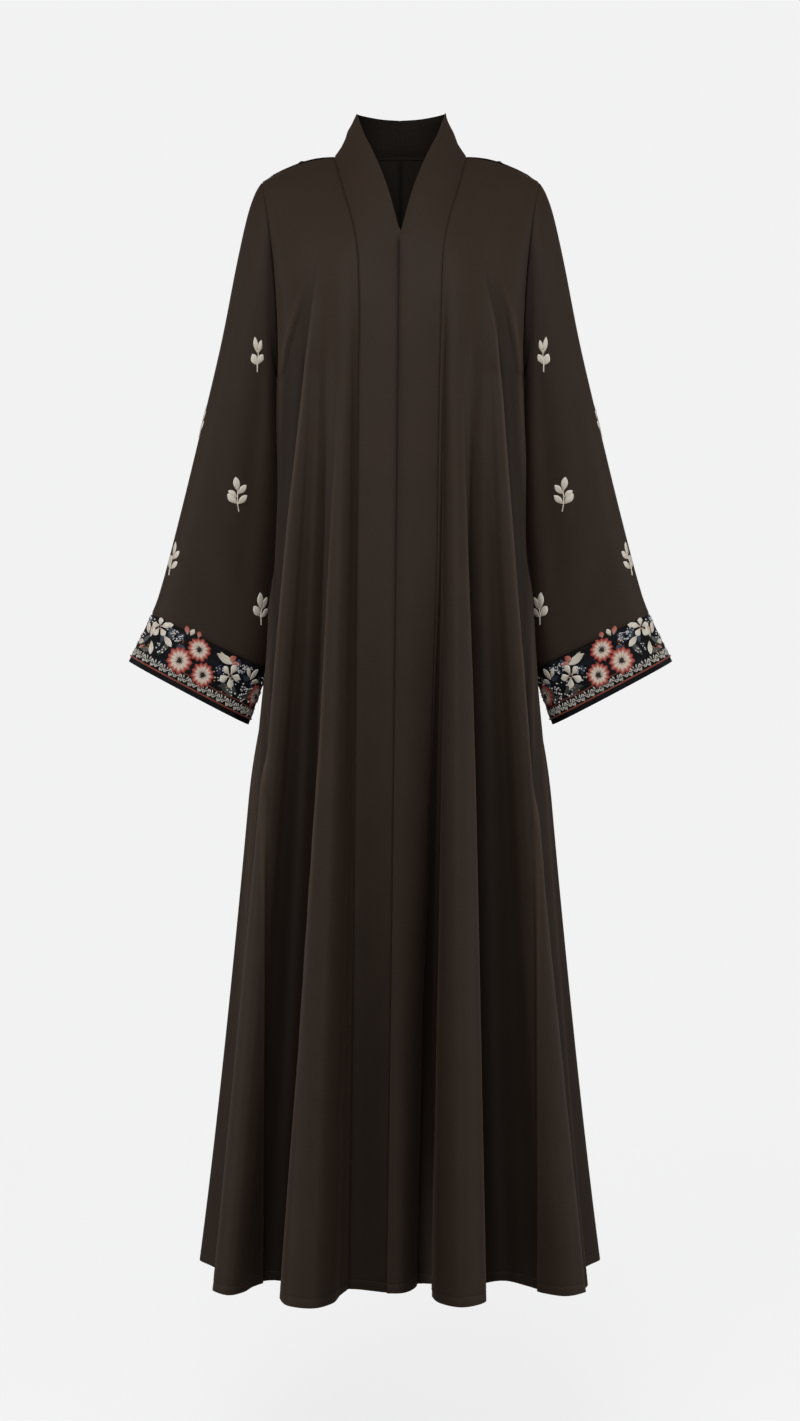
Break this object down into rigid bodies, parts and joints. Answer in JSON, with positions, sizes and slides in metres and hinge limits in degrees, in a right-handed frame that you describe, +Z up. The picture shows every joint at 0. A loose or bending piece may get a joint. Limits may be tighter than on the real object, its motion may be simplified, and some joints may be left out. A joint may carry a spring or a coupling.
{
  "type": "abaya, a full-length open robe",
  "caption": "Hollow full-length open robe with a band collar, overlapping front bands, a flared body with soft flares and long bell sleeves ending in deep embroidered cuffs.",
  "frame": {"origin": "middle of the neck at the height of the neck points of the shoulder seams, where the wearer's neck and shoulders hold the robe up", "axes": "+Z up, -Y towards the front of the robe, +X towards the wearer's left"},
  "size_m": [0.7132, 0.4047, 1.5138],
  "materials": {
    "crepe": "dark brown crepe with a soft satin sheen",
    "embroidered_cuff": "black ground covered with satin-stitch flowers, leaves, beads and a scroll border"
  },
  "bodies": {
    "root": {"front_right": "crepe", "front_left": "crepe", "back_right": "crepe", "back_left": "crepe", "band_right": "crepe", "band_left": "crepe", "sleeve_right": "crepe", "sleeve_left": "crepe", "cuff_right": "embroidered_cuff", "cuff_left": "embroidered_cuff"}
  },
  "joints": []
}
